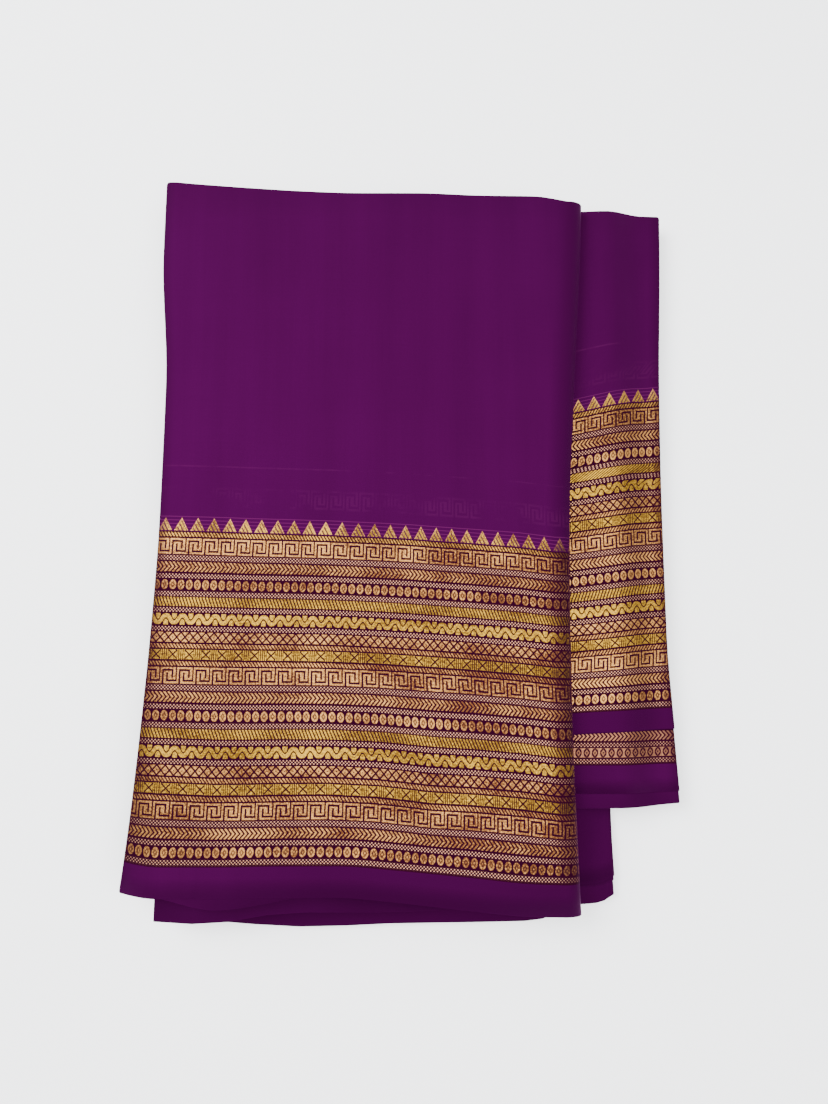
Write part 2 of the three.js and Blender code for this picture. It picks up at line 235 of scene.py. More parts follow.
TOP_CUTS = [0, 0.008, 0.02, 0.035, *evenly(0.055, 0.955, 42), 0.975, 0.99, 1]
SINK_CUTS = evenly(0.86, 0.98, 7)
WIDE_CUTS = [*evenly(0, 0.7, 7), *evenly(0.74, 0.84, 5), *SINK_CUTS, 0.99, 1]
UNDER_CUTS = [*evenly(0, 0.8, 5), *SINK_CUTS, 1]
FLAP_CUTS = [*evenly(0, 0.8, 8), *evenly(0.84, 0.98, 8), 0.99, 1]
PLAIN_CUTS = evenly(0, 1, 11)
CUTS = {level: UNDER_CUTS for level in range(UPPER_PANELS, PLAIN_FROM)}
CUTS.update({0: TOP_CUTS, UPPER_PANELS: WIDE_CUTS, PLAIN_FROM: FLAP_CUTS})
FOLD_CUTS, ROLL_CUTS = 6, 16
FADE_CUTS = 30  # past a panel, the rows come back to their own places over this many cuts
SHOWN_FROM, BAKED_FROM = 60, 55  # the right panel shows, and gets fine room on the map for baking, to the right of these
FOLD_SHADE = 7  # painted shade: the silk is darker and the gold duller this near a fold

# Cuts along the length of a ply
LOW_END = -90
FINE = {"low": 9, "high": [-80 + 10 * k for k in range(26)]}
COARSE = {"low": 5, "high": [-70 + 20 * k for k in range(13)]}

RIMS = 4  # the two selvedges and the two ends

# Rooms on the square map for baking: left, right, low and high
BAKE_ROOMS = {
    "face": (0.002, 0.618, 0.002, 0.998),
    "right": (0.626, 0.828, 0.002, 0.74),
    "strip": (0.626, 0.828, 0.76, 0.86),
    "rims": (0.626, 0.828, 0.89, 0.99),
    "rest": (0.836, 0.914, 0.002, 0.998),
    "back": (0.922, 0.998, 0.002, 0.998),
}

# The way round the width, from the selvedge on the outer ply to the selvedge on the inner one
WIDTH_WAY = [
    {"kind": "ply", "side": OUTER, "end": "outer", "up": True, "cuts": FINE},
    {"kind": "bend", "side": 0, "radius": OUTER, "at": "top", "steps": 5},
    {"kind": "ply", "side": -OUTER, "end": "back", "up": False, "cuts": COARSE},
    {"kind": "bend", "side": -2 * NEAR, "radius": -NEAR, "at": "back", "steps": 4},
    {"kind": "ply", "side": -NEAR, "end": "back", "up": True, "cuts": COARSE},
    {"kind": "bend", "side": 0, "radius": -NEAR, "at": "top", "steps": 4},
    {"kind": "ply", "side": NEAR, "end": "inner", "up": False, "cuts": COARSE},
]


def ease(f):
    """Goes smoothly from 0 to 1 as f does, and stays there outside."""
    c = min(1, max(0, f))
    return c * c * (3 - 2 * c)


KNOWN_COLUMNS = {}


def column(table, key, name):
    """The places and values of a column, with the slope at each row for a smooth curve through them."""
    kept = KNOWN_COLUMNS.get((id(table), name))
    if kept:
        return kept
    rows = sorted(table, key=lambda row: row[key])
    xs = [row[key] for row in rows]
    ys = [row[name] for row in rows]
    steps = [(ys[i + 1] - ys[i]) / (xs[i + 1] - xs[i]) for i in range(len(xs) - 1)]
    slopes = [steps[0]]
    for before, after in zip(steps, steps[1:]):
        slopes.append(0 if before * after <= 0 else 2 * before * after / (before + after))
    slopes.append(steps[-1])
    KNOWN_COLUMNS[(id(table), name)] = (xs, ys, slopes)
    return xs, ys, slopes


def read(table, key, place, name):
    """The value of a column at a place, on the smooth curve through its rows."""
    xs, ys, slopes = column(table, key, name)
    if place <= xs[0]:
        return ys[0]
    if place >= xs[-1]:
        return ys[-1]
    i = next(k for k in range(1, len(xs)) if place <= xs[k]) - 1
    span = xs[i + 1] - xs[i]
    f = (place - xs[i]) / span
    return (
        ys[i] * (1 + 2 * f) * (1 - f) ** 2
        + ys[i + 1] * f * f * (3 - 2 * f)
        + slopes[i] * span * f * (1 - f) ** 2
        - slopes[i + 1] * span * f * f * (1 - f)
    )


def support_edge(x):
    """The lower edge of the wide block, below which the upper block hangs free."""
    across = (x - WIDE_BLOCK["left"]) / (WIDE_BLOCK["right"] - WIDE_BLOCK["left"])
    return read(THIRD_ENDS, "at", across, "back")


def settle(x, y, z, level):
    """Moves a height from the even stack to the settled one."""
    if level >= UPPER_PANELS + WIDE_PANELS:
        return z
    if level >= UPPER_PANELS:
        return z - SINK["by"] * ease((x - SINK["from"]) / (SINK["to"] - SINK["from"]))
    swell = 1
    for w in WAVES:
        swell += w["by"] * math.exp(-(((x - w["x"]) / w["wide"]) ** 2) - ((y - w["y"]) / w["long"]) ** 2)
    edge = read(SIDES, "y", y, "one")
    swell -= SHOULDER["by"] * ease((x - edge + SHOULDER["over"]) / SHOULDER["over"])
    height = UPPER_FROM + (z - UPPER_FROM) * swell
    free = max(0, support_edge(x) - SAG["margin"] - y)
    reach = SAG["reach"]
    hang = free * free / (2 * reach) if free < reach else free - reach / 2
    height -= SAG["slope"] * hang * ease((x - SAG["from"]) / (SAG["to"] - SAG["from"]))
    if level > 1:
        return height
    lean = ease((x - DROOP["from"]) / (DROOP["to"] - DROOP["from"]))
    height -= DROOP["by"] * lean * ease((DROOP["below"] - y) / DROOP["over"])
    wide = ROLLED_EDGE["wide"]
    return height - ROLLED_EDGE["by"] * ease((read(SIDES, "y", y, "face") + wide - x) / wide)


def place(level, across, way, step):
    """A place on the middle surface: the panel, the fraction across it, the place round the width."""
    p = LEVELS[level]
    top = read(p["ends"], "at", across, "top") - p["tuck"] - OUTER - SILK / 2
    back = read(p["ends"], "at", across, "back") + p["tuck"] + NEAR + SILK / 2
    side = way["side"]
    if way["kind"] == "ply":
        end = back if way["end"] == "back" else read(p["ends"], "at", across, way["end"]) + p["tuck"]
        cuts = way["cuts"]
        lengths = [*evenly(end, LOW_END, cuts["low"]), *cuts["high"], top]
        y = lengths[step if way["up"] else -1 - step]
    else:
        turn = math.pi * step / way["steps"]
        bulge = abs(way["radius"]) * math.sin(turn)
        y = top + bulge if way["at"] == "top" else back - bulge
        side += way["radius"] * math.cos(turn)
    fold = LOOSE * (PACK / 2 + OUTER) + SILK / 2
    roll = ROLL * UPPER_HEIGHT / 2 + SILK / 2
    left = read(SIDES, "y", y, p["left"]) + p["left_in"] + fold
    right = read(SIDES, "y", y, p["right"]) - p["right_in"]
    right -= roll if level in (0, UPPER_PANELS - 1) else fold
    x = left + across * (right - left)
    z = FLOOR_LEVEL + (PANELS_IN_ALL - 1 - level) * PACK + runs(level) * side
    return Vector((x, y, settle(x, y, z, level)))


def runs(level):
    """1 for a panel that runs to the right and -1 for one that runs to the left."""
    return 1 if level % 2 == 0 else -1


def places_on(cuts):
    """How many places a ply has from its lower end to its top fold."""
    return cuts["low"] + len(cuts["high"]) + 2


def round_the_width():
    """Every place round the width in order."""
    places = []
    for way in WIDTH_WAY:
        if way["kind"] == "ply":
            places += [(way, step) for step in range(places_on(way["cuts"]))]
        else:
            places += [(way, step) for step in range(1, way["steps"])]
    return places


def lay_out():
    """The columns of the middle surface along the length, each with its panel and place across it."""
    places = round_the_width()
    made = []
    for order, level in enumerate(ALONG):
        cuts = CUTS.get(level, PLAIN_CUTS)
        for across in cuts if runs(level) > 0 else reversed(cuts):
            points = [place(level, across, *p) for p in places]
            made.append({"level": level, "flat": True, "points": points})
        if order == len(ALONG) - 1:
            break
        after = ALONG[order + 1]
        at = 1 if runs(level) > 0 else 0
        ends = [place(level, at, *p) for p in places]
        starts = [place(after, at, *p) for p in places]
        big = abs(after - level) > 1
        loose, cuts_round = (ROLL, ROLL_CUTS) if big else (LOOSE, FOLD_CUTS)
        for k in range(1, cuts_round):
            turn = math.pi * k / cuts_round
            half = (1 - math.cos(turn)) / 2
            points = []
            for a, b in zip(ends, starts):
                radius = (a.z - b.z) / 2
                points.append(
                    Vector((
                        a.x + half * (b.x - a.x) + runs(level) * abs(radius) * loose * math.sin(turn),
                        a.y + half * (b.y - a.y),
                        (a.z + b.z) / 2 + radius * math.cos(turn),
                    ))
                )
            made.append({"level": level, "flat": False, "points": points})
    return made


def distances(points):
    """How far each point is along the line through them."""
    far = [0.0]
    for a, b in zip(points, points[1:]):
        far.append(far[-1] + (b - a).length)
    return far


def between(pairs, at):
    """The value at a place on the straight lines through pairs of place and value, and beyond them."""
    k = 1
    while k < len(pairs) - 1 and at > pairs[k][0]:
        k += 1
    (x0, y0), (x1, y1) = pairs[k - 1], pairs[k]
    return y0 + (y1 - y0) * (at - x0) / (x1 - x0)


def key_row(rows, name, x):
    """The y of a key row at a place across its panel."""
    reach = min(max(x, rows[0]["x"] - ROWS_REACH["left"]), rows[-1]["x"] + ROWS_REACH["right"])
    return between([(row["x"], row[name]) for row in rows], reach)


def from_selvedge(x, y, rows, selvedge, strip):
    """How far a place on a panel is from the selvedge, as the cloth was woven."""
    first = key_row(rows, "first", x)
    if y > first:
        return FIRST + y - first
    widened = ease((x - STRIP_WIDENS["from"]) / STRIP_WIDENS["over"])
    return between(
        [
            (selvedge, strip["from"]),
            (selvedge + strip["seen"] + strip["more"] * widened, BORDER_END),
            (key_row(rows, "third", x), THIRD),
            (key_row(rows, "second", x), SECOND),
            (first, FIRST),
        ],
        y,
    )


def repeat_at(x, far, weave):
    """How many repeats along the cloth a place is, from its x and its distance from the selvedge."""
    lines = []
    for row in weave:
        low = (BOTTOM_LEAN["far"], row["third"] + BOTTOM_LEAN["by"])
        keys = [low, (THIRD, row["third"]), (SECOND, row["second"]), (FIRST, row["first"])]
        lines.append((between(keys, min(max(far, 0), COLUMNS_END)), row["unit"]))
    return between(lines, x)


def panels(grid):
    """The columns of each panel, by its level."""
    found = {}
    for i, c in enumerate(grid):
        if c["flat"]:
            found.setdefault(c["level"], []).append(i)
    return found


def from_selvedges(grid, from_outer):
    """How far every point is from the nearer selvedge, as it lies in the folds."""
    far = []
    for c, distance in zip(grid, from_outer):
        row = []
        for outer in distance:
            inner = distance[-1] - outer
            if c["level"] >= UPPER_PANELS and inner < INNER_STRIP["seen"]:
                inner *= BORDER_END / INNER_STRIP["seen"]
            elif c["level"] >= UPPER_PANELS:
                inner = BORDER_END + (inner - INNER_STRIP["seen"]) * INNER_STRIP["shrunk"]
            row.append(min(outer, inner))
        far.append(row)
    return far


def lay_rows(grid, far):
    """Moves the rows of the border to where they show on the two panels, fading out round the folds."""
    natural = [row[:] for row in far]
    for level, rows, strip in ((0, FACE_ROWS, FACE_STRIP), (UPPER_PANELS, WIDE_ROWS, WIDE_STRIP)):
        columns = panels(grid)[level]
        for i in columns:
            points = grid[i]["points"]
            for j in range(places_on(FINE)):
                if level == 0 or points[j].x >= SHOWN_FROM:
                    far[i][j] = from_selvedge(points[j].x, points[j].y, rows, points[0].y, strip)
        for end, step in ((columns[0], -1), (columns[-1], 1)):
            if level and step < 0:
                continue
            for k in range(1, FADE_CUTS):
                for j in range(places_on(FINE)):
                    far[end + k * step][j] += (far[end][j] - natural[end][j]) * ease(1 - k / FADE_CUTS)


def lay_repeats(grid, far):
    """How far along the cloth every point is, with the repeats where they show on the two panels."""
    points = [c["points"] for c in grid]
    across, around = len(points), len(points[0])
    face, wide = panels(grid)[0], panels(grid)[UPPER_PANELS]
    left, right = face[0], face[-1]
    length = [[0.0] * around for _ in points]
    for j in range(around):
        along = distances([column[j] for column in points])
        for i in face:
            length[i][j] = UNIT * repeat_at(points[i][j].x, far[i][j], FACE_WEAVE)
        for i in range(left):
            length[i][j] = length[left][j] - (along[left] - along[i])
        for i in range(right + 1, wide[0]):
            length[i][j] = length[right][j] + along[i] - along[right]
        # The right panel shows the border of the other selvedge, which is woven the other way round.
        before = length[wide[0] - 1][j]
        starts = [-UNIT * repeat_at(points[i][j].x, far[i][j], WIDE_WEAVE) for i in wide]
        whole = UNIT * (round((before - starts[0]) / UNIT) + HIDDEN_REPEATS)
        slip = before - starts[0] - whole
        wide_left = points[wide[0]][j].x
        for i, start in zip(wide, starts):
            gone = (points[i][j].x - wide_left) / (SHOWN_FROM - wide_left)
            length[i][j] = start + whole + slip * ease(1 - gone)
        for i in range(wide[-1] + 1, across):
            length[i][j] = length[wide[-1]][j] - (along[i] - along[wide[-1]])
    return length


def woven_places(grid):
    """The place of every point of the grid on the flat cloth: along its length, and from its selvedge."""
    from_outer = [distances(c["points"]) for c in grid]
    far = from_selvedges(grid, from_outer)
    lay_rows(grid, far)
    length = lay_repeats(grid, far)
    for i, c in enumerate(grid):
        for j, outer in enumerate(from_outer[i]):
            # each selvedge has its own border, and they are woven in opposite ways
            if 2 * outer > from_outer[i][-1]:
                length[i][j] = INNER_STRIP["slip"] - length[i][j]
            if c["level"] >= PLAIN_FROM:
                far[i][j] += 2 * TIPS
    return [
        [(run * MM, reach * MM) for run, reach in zip(length_row, far_row)]
        for length_row, far_row in zip(length, far)
    ]


def baking_places(grid):
    """Where each face goes on the map for baking, with most of the room for what shows."""
    points = [c["points"] for c in grid]
    around = len(points[0])
    by_border = around // 8  # on the outer ply, where the border is
    along = distances([column[by_border] for column in points])
    top, wide = panels(grid)[0], panels(grid)[UPPER_PANELS]
    round_way = distances(points[top[len(top) // 2]])
    outer = places_on(FINE) - 1
    shown = next(i for i in wide if points[i][0].x > BAKED_FROM)
    last_fold = wide[-1] + FOLD_CUTS
    regions = [
        ("face", (top[0] - FOLD_CUTS, top[-1] + ROLL_CUTS), (0, outer)),
        ("right", (shown, last_fold), (0, outer)),
        ("strip", (shown, last_fold), (around - COARSE["low"] - 2, around - 1)),
        ("rest", (0, len(points) - 1), (0, around - 1)),
    ]

    def spread(value, values, ends, low, high):
        return low + (high - low) * (value - values[ends[0]]) / (values[ends[1]] - values[ends[0]])

    def room_of(corners):
        sides = {side for _, _, side in corners}
        if len(sides) == 2:
            return "rim", None, None
        for name, columns, rows in regions:
            if (name == "strip") == (sides == {-1}) or name == "rest":
                inside_columns = all(columns[0] <= i <= columns[1] for i, _, _ in corners)
                if inside_columns and all(rows[0] <= j <= rows[1] for _, j, _ in corners):
                    return ("back" if name == "rest" and sides == {-1} else name), columns, rows

    def uv_places(corners):
        name, columns, rows = room_of(corners)
        if name != "rim":
            left, right, low, high = BAKE_ROOMS[name]
            return [
                (
                    spread(along[i], along, columns, left, right),
                    spread(round_way[j], round_way, rows, low, high),
                )
                for i, j, _ in corners
            ]
        left, right, low, high = BAKE_ROOMS["rims"]
        all_columns, all_rows = regions[-1][1:]
        at_columns, at_rows = {i for i, _, _ in corners}, {j for _, j, _ in corners}
        selvedge = len(at_rows) == 1
        step = (high - low) / (2 * RIMS)
        edge = low + 2 * step * (2 * selvedge + (0 in (at_rows if selvedge else at_columns)))
        made = []
        for i, j, side in corners:
            if selvedge:
                run = spread(along[i], along, all_columns, left, right)
            else:
                run = spread(round_way[j], round_way, all_rows, left, right)
            made.append((run, edge + (step if side > 0 else 0)))
        return made

    return uv_places


def fold_shade_amounts(grid):
    """How much painted shade each point takes: 1 in the folds across the length and 0 away from them,
    fading over a short way.
    """
    made = []
    folds = [i for i, c in enumerate(grid) if not c["flat"]]
    for i, c in enumerate(grid):
        near = min(folds, key=lambda k: abs(k - i))
        gaps = [(a - b).length for a, b in zip(c["points"], grid[near]["points"])]
        made.append([ease(1 - gap / FOLD_SHADE) for gap in gaps])
    return made


def flat_sheet(across, around):
    """A flat closed sheet, and the column, the place round the width and the side of each of its points."""
    bm = bmesh.new()
    bmesh.ops.create_grid(bm, x_segments=across - 1, y_segments=around - 1, size=1.0)
    bmesh.ops.solidify(bm, geom=bm.faces[:], thickness=0.1)
    bm.faces.layers.float.new("wrong_side")
    # a layer for the painted shade near folds
    bm.verts.layers.float.new("shade_near_fold")
    bm.loops.layers.uv.new("Cloth")
    bm.loops.layers.uv.new("OFBake")
    heights = [v.co.z for v in bm.verts]
    middle = (min(heights) + max(heights)) / 2
    places = {}
    for v in bm.verts:
        i = round((v.co.x + 1) / 2 * (across - 1))
        j = round((v.co.y + 1) / 2 * (around - 1))
        places[v] = (i, j, 1 if v.co.z > middle else -1)
    return bm, places


def fold_sheet(bm, places, grid):
    """Moves the points of the flat sheet to the folds, half the silk's thickness to either side."""
    points = [c["points"] for c in grid]
    last_column, last_place = len(points) - 1, len(points[0]) - 1
    painted_fold_shade = fold_shade_amounts(grid)
    shade_near_fold = bm.verts.layers.float["shade_near_fold"]
    for v, (i, j, side) in places.items():
        lengthways = points[min(last_column, i + 1)][j] - points[max(0, i - 1)][j]
        widthways = points[i][min(last_place, j + 1)] - points[i][max(0, j - 1)]
        normal = lengthways.cross(widthways).normalized()
        spot = points[i][j] + normal * (side * SILK / 2)
        v.co = Vector((spot.x + MIDDLE[0], spot.y + MIDDLE[1], spot.z)) * MM
        # painted shade near folds, for the silk's colour
        v[shade_near_fold] = painted_fold_shade[i][j]


def map_sheet(bm, places, grid):
    """Tells every face its side, and its places on the flat cloth and on the map for baking."""
    woven, bake_place = woven_places(grid), baking_places(grid)
    wrong = bm.faces.layers.float["wrong_side"]
    cloth, baking = bm.loops.layers.uv["Cloth"], bm.loops.layers.uv["OFBake"]
    for face in bm.faces:
        corners = [places[loop.vert] for loop in face.loops]
        sides = {side for _, _, side in corners}
        face[wrong] = 1.0 if sides == {-1} else 0.0
        face.smooth = len(sides) == 1
        for loop, (i, j, _), spot in zip(face.loops, corners, bake_place(corners)):
            loop[cloth].uv = woven[i][j]
            loop[baking].uv = spot


def weave_sheet():
    """The whole sari as one closed thin sheet with its two sides."""
    grid = lay_out()
    bm, places = flat_sheet(len(grid), len(grid[0]["points"]))
    fold_sheet(bm, places, grid)
    map_sheet(bm, places, grid)
    mesh = bpy.data.meshes.new("sari_cloth")
    bm.to_mesh(mesh)
    bm.free()
    return mesh


class Value:
    """A number that changes over a surface, with Python's arithmetic."""

    def __init__(self, finish, socket):
        self.finish, self.socket = finish, socket

    def math(self, operation, *others, clamp=False):
        inputs = {0: self, **{k + 1: other for k, other in enumerate(others)}}
        return self.finish.value("ShaderNodeMath", {"operation": operation, "use_clamp": clamp}, inputs)

    def __add__(self, other):
        return self.math("ADD", other)

    __radd__ = __add__

    def __sub__(self, other):
        return self.math("SUBTRACT", other)

    def __rsub__(self, other):
        return self.math("MULTIPLY_ADD", -1, other)

    def __mul__(self, other):
        return self.math("MULTIPLY", other)

    __rmul__ = __mul__

    def __truediv__(self, other):
        return self.math("DIVIDE", other)

    def __mod__(self, other):
        return self.math("FLOORED_MODULO", other)

    def __abs__(self):
        return self.math("ABSOLUTE")

    def at_most(self, other):
        return self.math("MINIMUM", other)

    def at_least(self, other):
        return self.math("MAXIMUM", other)

    def fraction(self):
        return self.math("FRACT")

    def cosine(self):
        return self.math("COSINE")

    def held(self):
        """The number kept between 0 and 1."""
        return self.math("ADD", 0, clamp=True)

    def clear(self, width):
        """0 to 1 as a distance goes from outside to inside, softly over that width."""
        return self.math("MULTIPLY_ADD", 1 / width, 0.5, clamp=True)


class Finish:
    """A material that is being made, and its nodes."""

    def __init__(self, name):
        self.material = bpy.data.materials.new(name)
        self.material.use_nodes = True
        self.tree = self.material.node_tree
        self.tree.nodes.clear()

    def node(self, kind, settings=None, inputs=None):
        made = self.tree.nodes.new(kind)
        for key, setting in (settings or {}).items():
            setattr(made, key, setting)
        for key, wanted in (inputs or {}).items():
            socket = made.inputs[key]
            if isinstance(wanted, Value):
                self.tree.links.new(wanted.socket, socket)
            elif isinstance(wanted, bpy.types.NodeSocket):
                self.tree.links.new(wanted, socket)
            else:
                socket.default_value = wanted
        return made

    def value(self, kind, settings=None, inputs=None, output=0):
        return Value(self, self.node(kind, settings, inputs).outputs[output])

    def mix(self, a, b, factor):
        """A colour that goes from a to b."""
        made = self.node("ShaderNodeMix", {"data_type": "RGBA"}, {"Factor": factor})
        for socket, wanted in ((made.inputs[6], a), (made.inputs[7], b)):
            if isinstance(wanted, bpy.types.NodeSocket):
                self.tree.links.new(wanted, socket)
            else:
                socket.default_value = (*wanted, 1)
        return made.outputs[2]

    def noise(self, place, scale, detail=2.0, rough=0.5):
        return self.value(
            "ShaderNodeTexNoise",
            {"noise_dimensions": "3D"},
            {"Vector": place, "Scale": scale, "Detail": detail, "Roughness": rough},
        )

    def vector(self, x, y, z=0.0):
        return self.node("ShaderNodeCombineXYZ", None, {0: x, 1: y, 2: z}).outputs[0]


def inside(at, low, high, soft=0.05):
    """1 where a number lies between two limits."""
    return (at - low).at_most(high - at).clear(soft)


def box(x, y, line):
    """How deep a place lies inside a line of the running key, and below 0 outside it."""
    return (x - line["left"]).at_most(line["right"] - x).at_most((y - line["top"]).at_most(line["low"] - y))


# The dark lines of a repeat of the running key, on 16 columns and 14 rows
KEY_LINES = [
    {"left": 15, "right": 17, "top": -1, "low": 12},
    {"left": 2, "right": 12, "top": 2, "low": 3},
    {"left": 2, "right": 3, "top": 2, "low": 15},
    {"left": 11, "right": 12, "top": 2, "low": 9},
    {"left": 6, "right": 7, "top": 5, "low": 12},
    {"left": 6, "right": 16, "top": 11, "low": 12},
]


# Each motif takes the place along the cloth in repeats and the place down its row in millimetres,
# and gives 1 where the gold shows.
def greek(along, down, height):
    """A running key: a maze line of dark ground in gold."""
    x = along.fraction() * 16
    y = down * (14 / height)
    dark = box(x, y, KEY_LINES[0])
    for line in KEY_LINES[1:]:
        dark = dark.at_least(box(x, y, line))
    return (-0.38 - dark).clear(0.4)


def lattice(along, down, height):
    """Small dots in staggered rows."""
    across = (along * (5 * 2 * math.pi)).cosine()
    up = ((down - height / 2) * (2 * math.pi / 1.55)).cosine()
    return (across * up - 0.34).clear(0.35)


def chevrons(along, down, height):
    """Arrowheads that point along the cloth."""
    wing = abs(down - height / 2) * (2 / height)
    return inside((along * 4 + wing + 0.3).fraction(), 0.2, 0.7, 0.12)


def ovals(along, down, height):
    """Gold rings with a small diamond in the middle."""
    x = ((along * 2 + 0.81).fraction() - 0.5) * (UNIT / 2)
    y = down - height / 2
    rounded = (x * x * (1 / 1.62**2) + y * y * (4 / height**2)).math("SQRT")
    spot = abs(x) * (1 / 1.12) + abs(y) * (1 / 1.9)
    return (1 - rounded).clear(0.14) * (1 - (1 - spot).clear(0.25) * (spot - 0.38).clear(0.25) * 0.75)


def slanted(along, down, height):
    """A band of slanting stripes."""
    stripe = (along * 5 - down * (1.15 / height)).fraction()
    return inside(stripe, 0.12, 0.68, 0.15)


def twill(along, down, height):
    """A narrow twisted strip."""
    stripe = (along * 5 - down * (0.9 / height)).fraction()
    return inside(stripe, 0.15, 0.66, 0.2)


def wave(along, down, height):
    """A thick wave that nearly fills its row, with a drop in each of its hollows."""
    bend = ((along + 0.91) * (2 * math.pi)).cosine()
    away = abs(down - height / 2 + bend * (0.31 * height)) / (1.75 - bend * bend * 0.75)
    hollow = 0.14 - abs((along * 2 + 0.32).fraction() - 0.5) * 0.5
    drop = (away - 0.31 * height).at_most(hollow * UNIT)
    return (0.17 * height - away).at_least(drop).clear(0.22)


def crosses(along, down, height):
    """Dark crosses between small diamonds."""
    x = ((along * 2 + 0.35).fraction() - 0.5) * 2
    y = (down - height / 2) * (2 / height)
    leg = abs(abs(x) - (1 - abs(y)))
    spot = abs(x) + abs(y)
    return (leg - 0.26).clear(0.16) * (1 - (0.17 - spot).clear(0.1))


def blocks(along, down, height):
    """Upright stripes under a crossing line, and a small star, in turn."""
    x = (along + 0.1).fraction()
    crossing = inside(down, 0.42 * height, 0.5 * height, 0.3) * 0.6
    stripes = inside((x * 8).fraction(), 0.22, 0.78, 0.2) * (1 - crossing)
    y = (down - height / 2) * (1 / height)
    sx = (x - 0.76) * (UNIT / height)
    star = (abs(abs(sx) - abs(y)) - 0.1).clear(0.07) * (0.47 - abs(sx).at_least(abs(y))).clear(0.06)
    first = inside(x, 0.0, 0.5, 0.03)
    return stripes * first + star * (1 - first)


# The rows of a group of the border, downward from the top of its running key. Tone is 1 for rows of
# yellow gold, 0 for rosy gold and -1 for pale dots.
ROWS = [
    {"motif": greek, "from": 0.0, "to": 7.9, "tone": 0},
    {"motif": lattice, "from": 8.5, "to": 11.2, "tone": -1},
    {"motif": chevrons, "from": 11.9, "to": 16.8, "tone": 0},
    {"motif": lattice, "from": 17.7, "to": 20.2, "tone": -1},
    {"motif": ovals, "from": 20.8, "to": 25.7, "tone": 0},
    {"motif": lattice, "from": 26.5, "to": 29.1, "tone": -1},
    {"motif": slanted, "from": 29.5, "to": 34.0, "tone": 1},
    {"motif": lattice, "from": 34.6, "to": 37.0, "tone": -1},
    {"motif": wave, "from": 37.6, "to": 43.2, "tone": 1},
    {"motif": lattice, "from": 43.9, "to": 46.3, "tone": -1},
    {"motif": crosses, "from": 46.9, "to": 51.7, "tone": 0},
    {"motif": twill, "from": 52.6, "to": 54.6, "tone": 0},
    {"motif": blocks, "from": 55.3, "to": 60.2, "tone": 1},
    {"motif": twill, "from": 61.1, "to": 63.2, "tone": 0},
]
EDGE_STRIP = {"from": 0.9, "to": 3.1}  # a twisted strip above the first key
# A tooth's width, apex and rim are in repeats, and hatches is how many fine lines a repeat has.
TEETH = {"base": 4.0, "tip": 10.6, "wide": 0.86, "apex": 0.6, "rim": 0.075, "hatches": 4.2, "slant": 0.3}
THIN = {"first": 5.6, "pitch": 1.83, "from": 4.7, "to": 11.7}  # thin lines behind the teeth
# What shows through, from the selvedge
GHOST = {"key_top": 199.0, "key_height": 10.0, "shift": 0.4, "line": 209.4, "line_wide": 0.7}
THREADS = {"warp": 0.42, "weft": 0.38}  # from one fine ridge of the weave to the next

# Painted light: places along the cloth where the gold is brighter, and where the strip by the selvedge is
# lighter, on the top panel and on the one under its lower left
GOLD_LIT = {
    "left": {"middle": 20, "reach": 95, "soft": 160, "by": 0.24},
    "band": {"from": 70, "to": 84, "soft": 10, "by": 0.22},
    "right": {"from": 400, "soft": 20, "by": 0.36},
}
# painted light on the strip by the selvedge, in two stretches
PAINTED_LIGHT_ON_STRIPS = {
    "top": {"reach": 50, "soft": 60},
    "low": {"from": -430, "to": -330, "soft": 30},
}

# Colours of the silk and of the threads
SILK_DARK, SILK_LIGHT = (0.0185, 0.0, 0.0163), (0.0250, 0.0, 0.0222)
# Deeper silk: the selvedge strip's own deeper colour together with painted shade, also used as painted
# shade in folds and on the plain flap
SILK_DEEP_AND_SHADED = (0.0172, 0.0, 0.0152)
MAROON = (0.0080, 0.0004, 0.0024)
THIN_PINK = (0.085, 0.010, 0.058)
# The bright ends of the gold are partly painted highlights and glints
ROSY_DULL, ROSY_BRIGHT = (0.050, 0.0175, 0.0055), (0.33, 0.158, 0.044)
YELLOW_DULL, YELLOW_BRIGHT = (0.062, 0.031, 0.003), (0.31, 0.173, 0.016)
PALE_DOT = (0.25, 0.125, 0.082)
BACK_GOLD = (0.13, 0.055, 0.034)
SHEEN = (0.55, 0.0, 0.5)


